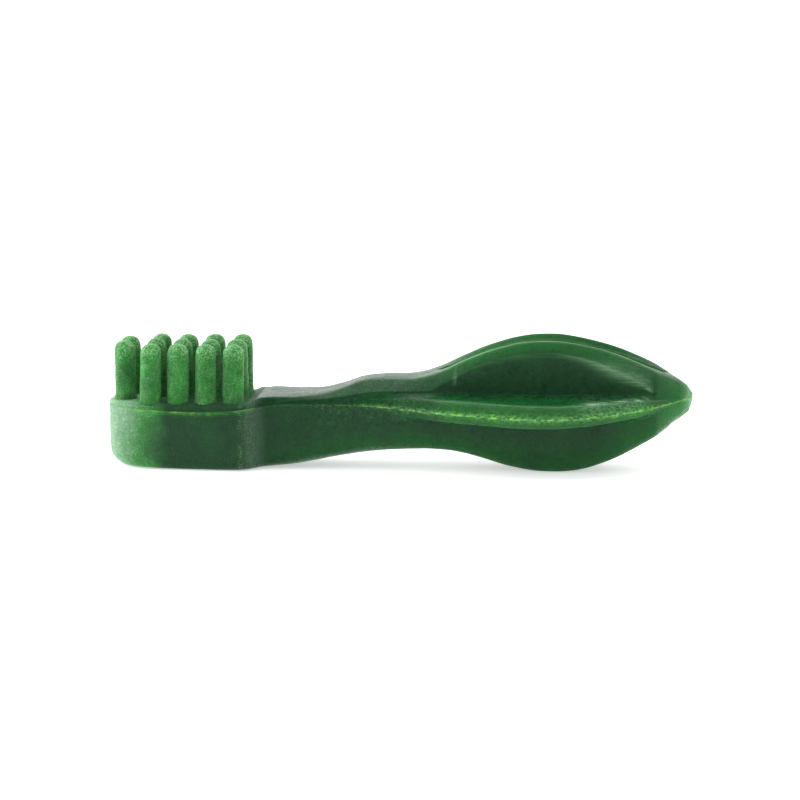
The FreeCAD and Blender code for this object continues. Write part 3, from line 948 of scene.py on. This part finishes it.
def frosted_finish(n, mm, deep, specks, cover, sheen):
    """Crystals over the deep colour. cover says how much of it they hide."""
    normal = n.bump(specks, 0.00022, 0.7)
    normal = n.bump(n.noise(mm, 3.5, 4.0, 0.7), 0.00008, 0.6, normal)
    n.feed(n.shader.inputs["Base Color"], n.mix(cover, deep, CRYSTALS))
    n.feed(n.shader.inputs["Roughness"], n.span(specks, 0.0, 1.0, 0.42, 0.62))
    n.feed(n.shader.inputs["Normal"], normal)
    n.shader.inputs["Sheen Weight"].default_value = sheen
    n.shader.inputs["Sheen Roughness"].default_value = SHEEN_ROUGHNESS
    n.shader.inputs["Sheen Tint"].default_value = SHEEN_TINT
    gel_finish(n, FROSTED_SCATTER)


def head_material():
    """The head: frosted at its free end and rear corners, where painted glow and painted sheen also
    lighten it, darker and plainer between.
    """
    n = Nodes("chew_head")
    mm = millimetres(n)
    cloud = n.noise(mm, 0.2, 3.0)
    specks = crystals(n, mm)
    u = along(n, mm)
    wander = n.span(cloud, 0.3, 0.7, -1.5, 1.5)
    free_end = n.span(n.math("ADD", u, wander), 1.5, 11.0, 1.0, 0.0)
    from_edge = n.math("ABSOLUTE", n.math("SUBTRACT", u, REAR_EDGE_U))
    edge_line = n.span(from_edge, 0.15, 0.6, 0.28, 0.0)
    corner = n.span(u, REAR_EDGE_U, REAR_EDGE_U + 1.2, 0.0, 1.0)
    frost = n.math("MAXIMUM", n.math("POWER", free_end, 1.3), edge_line)
    frost = n.math("MAXIMUM", frost, n.math("MULTIPLY", corner, 0.16))
    deep = n.mix(n.span(cloud, 0.3, 0.7), *HEAD_GEL)
    # painted glow, then painted sheen over frost, towards the free end
    deep = n.mix(n.span(free_end, 0.0, 0.45), deep, HEAD_GLOW_GEL)
    deep = n.mix(n.span(free_end, 0.4, 1.0), deep, HEAD_FROST_AND_SHEEN)
    # painted sheen on the head's rear corner
    deep = n.mix(corner, deep, REAR_FROST_AND_SHEEN)
    # painted glow and glints along the flash line
    glow = n.span(n.noise(mm, 0.5, 3.0), 0.42, 0.6, 0.35, 1.0)
    flash = n.math("MULTIPLY", n.mark("flash"), glow)
    glints = n.span(n.noise(mm, 0.4, 3.0, 0.6), 0.5, 0.62)
    deep = n.mix(flash, deep, n.mix(glints, HEAD_FLASH_GLOW, HEAD_GLINT))
    cover = n.math("MULTIPLY", specks, n.span(frost, 0.0, 1.0, 0.05, 0.85))
    frosted_finish(n, mm, deep, specks, cover, HEAD_SHEEN)
    return n.material


def bristle_material():
    """The bristles: saturated green with pale flecks that gather at the tips."""
    n = Nodes("chew_bristle")
    mm = millimetres(n)
    cloud = n.noise(mm, 0.35, 2.0)
    specks = crystals(n, mm)
    frost = n.math("ADD", n.mark("frost"), n.span(cloud, 0.35, 0.65, -0.12, 0.22))
    deep = n.mix(n.span(cloud, 0.35, 0.65), *BRISTLE_GEL)
    deep = n.mix(n.span(frost, 0.3, 1.0, 0.0, 0.5), deep, BRISTLE_FROST)
    cover = n.math("MULTIPLY", specks, n.span(frost, 0.0, 1.0, 0.24, 0.9))
    frosted_finish(n, mm, deep, specks, cover, BRISTLE_SHEEN)
    return n.material


# ---------------------------------------------------------------- the room
FLOOR_HALF_SIZE = 6.0
FLOOR_WHITE = (0.85, 0.85, 0.85, 1)
FLOOR_ROUGHNESS = 0.6
FLOOR_GLOW = 0.5
SKY_STRENGTH = 1.4
SKY_LIFT = 1.3            # how much more than a direction's y its z counts for its brightness
SKY_SPAN = (-0.75, 0.35)
SKY_LEAST = 0.1
SOFTBOX_PLACE = (-0.55, 0.02, 0.22)
SOFTBOX_TARGET = (0.0, 0.0, 0.01)
SOFTBOX_SIZE = 0.4
SOFTBOX_POWER = 3.0


def floor():
    """A pale floor that glows a little, as a well-lit studio sweep does."""
    size = FLOOR_HALF_SIZE
    mesh = bpy.data.meshes.new("floor")
    corners = [(-size, -size), (size, -size), (size, size), (-size, size)]
    mesh.from_pydata([(x, y, FLOOR_Z) for x, y in corners], [], [(0, 1, 2, 3)])
    obj = bpy.data.objects.new("floor", mesh)
    bpy.context.scene.collection.objects.link(obj)
    n = Nodes("pale_floor")
    n.shader.inputs["Base Color"].default_value = FLOOR_WHITE
    n.shader.inputs["Roughness"].default_value = FLOOR_ROUGHNESS
    n.shader.inputs["Emission Color"].default_value = (1.0, 1.0, 1.0, 1)
    n.shader.inputs["Emission Strength"].default_value = FLOOR_GLOW
    mesh.materials.append(n.material)
    obj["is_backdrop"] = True


def sky():
    """Soft light from above and behind, which leaves the side towards the camera darker."""
    world = bpy.data.worlds.new("studio")
    bpy.context.scene.world = world
    world.use_nodes = True
    tree = world.node_tree
    background = tree.nodes["Background"]
    background.inputs["Strength"].default_value = SKY_STRENGTH
    direction = tree.nodes.new("ShaderNodeTexCoord")
    split = tree.nodes.new("ShaderNodeSeparateXYZ")
    tree.links.new(direction.outputs["Generated"], split.inputs[0])
    lift = tree.nodes.new("ShaderNodeMath")
    lift.operation = "MULTIPLY_ADD"
    tree.links.new(split.outputs["Z"], lift.inputs[0])
    lift.inputs[1].default_value = SKY_LIFT
    tree.links.new(split.outputs["Y"], lift.inputs[2])
    brightness = tree.nodes.new("ShaderNodeMapRange")
    brightness.inputs["From Min"].default_value = SKY_SPAN[0]
    brightness.inputs["From Max"].default_value = SKY_SPAN[1]
    brightness.inputs["To Min"].default_value = SKY_LEAST
    brightness.inputs["To Max"].default_value = 1.0
    tree.links.new(lift.outputs[0], brightness.inputs["Value"])
    tree.links.new(brightness.outputs[0], background.inputs["Color"])


def softbox():
    """One square light off the head's end."""
    data = bpy.data.lights.new("left_softbox", "AREA")
    data.shape = "RECTANGLE"
    data.size = SOFTBOX_SIZE
    data.size_y = SOFTBOX_SIZE
    data.energy = SOFTBOX_POWER
    light = bpy.data.objects.new("left_softbox", data)
    light.location = SOFTBOX_PLACE
    aim = Vector(SOFTBOX_TARGET) - Vector(SOFTBOX_PLACE)
    light.rotation_euler = aim.to_track_quat("-Z", "Y").to_euler()
    bpy.context.scene.collection.objects.link(light)


CAMERA_ELEVATION = math.radians(9.3)
CAMERA_AZIMUTH = math.radians(5.0)
CAMERA_DISTANCE = 0.515
SENSOR_MM, LENS_MM = 36.0, 135.0
CAMERA_CLIP = 0.01


def camera():
    """Nearly side on, from a little above and about half a metre away."""
    data = bpy.data.cameras.new("camera")
    data.sensor_width = SENSOR_MM
    data.lens = LENS_MM
    data.clip_start = CAMERA_CLIP
    cam = bpy.data.objects.new("camera", data)
    centre = Vector((cad_low + cad_high) / 2)
    level = math.cos(CAMERA_ELEVATION)
    back = Vector((level * math.sin(CAMERA_AZIMUTH), -level * math.cos(CAMERA_AZIMUTH),
                   math.sin(CAMERA_ELEVATION)))
    cam.location = centre + back * CAMERA_DISTANCE
    cam.rotation_euler = (-back).to_track_quat("-Z", "Y").to_euler()
    bpy.context.scene.collection.objects.link(cam)
    bpy.context.scene.camera = cam


def build():
    """Every piece with its material, each in the place of its CAD node on the one body."""
    handle = handle_material()
    head = head_material()
    tuft = bristle_material()
    pieces = build_moulding()
    for name, obj in pieces.items():
        obj.data.materials.append(head if name == "head" else handle)
    bristles = [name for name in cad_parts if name.startswith("bristle_")]
    for seed, name in enumerate(sorted(bristles)):
        obj = bristle(name, seed)
        obj.data.materials.append(tuft)
        pieces[name] = obj
    for name, obj in pieces.items():
        obj.name = "chew_" + name
        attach(obj, BODY)
        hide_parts(name)


build()
floor()
sky()
softbox()
camera()
bpy.context.scene.view_settings.view_transform = "Standard"
